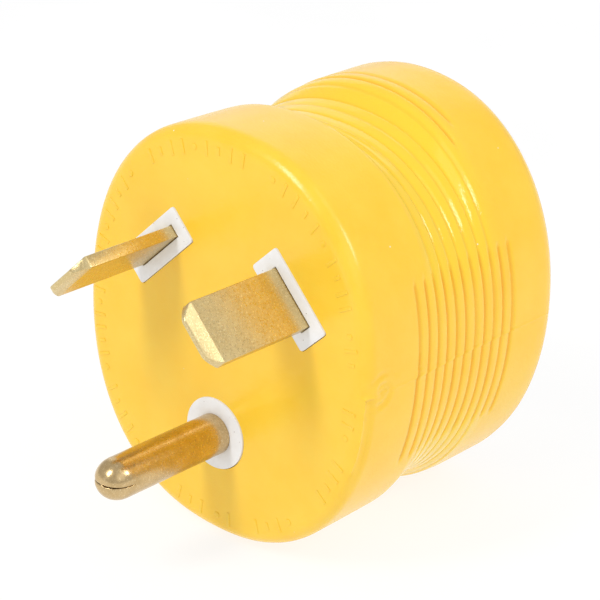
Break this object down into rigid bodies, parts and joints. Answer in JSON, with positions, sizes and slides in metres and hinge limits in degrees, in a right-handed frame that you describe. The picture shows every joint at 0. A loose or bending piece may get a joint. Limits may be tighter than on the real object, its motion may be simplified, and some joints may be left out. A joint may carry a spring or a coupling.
{
  "type": "plug adapter",
  "caption": "Waisted moulded plug adapter: two angled blades and a round ground pin on the front face, slots and a round ground hole on the rear face.",
  "frame": {"origin": "middle of the plug face, on the body's centre line", "axes": "+Y from the plug face to the receptacle face, +Z away from the ground pin, +X towards the neutral blade"},
  "size_m": [0.056, 0.0702, 0.0654],
  "materials": {
    "yellow_moulding": "soft satin PVC moulding",
    "white_insulator": "matt moulded thermoplastic",
    "prong_brass": "tumbled brass with a fine speckle",
    "strap_copper": "rolled copper strip",
    "contact_bronze": "rolled spring bronze",
    "plated_steel": "zinc plated"
  },
  "bodies": {
    "root": {"jacket": "yellow_moulding", "plug_core": "white_insulator", "mid_barrier": "white_insulator", "receptacle_base": "white_insulator", "receptacle_face": "white_insulator", "hot_blade": "prong_brass", "neutral_blade": "prong_brass", "ground_pin": "prong_brass", "hot_link": "strap_copper", "neutral_link": "strap_copper", "ground_link": "strap_copper", "hot_contact": "contact_bronze", "neutral_contact": "contact_bronze", "ground_contact": "contact_bronze", "hot_prong_rivet": "plated_steel", "neutral_prong_rivet": "plated_steel", "ground_prong_rivet": "plated_steel", "hot_contact_rivet": "plated_steel", "neutral_contact_rivet": "plated_steel", "ground_contact_rivet": "plated_steel", "core_screws": "plated_steel"}
  },
  "joints": []
}
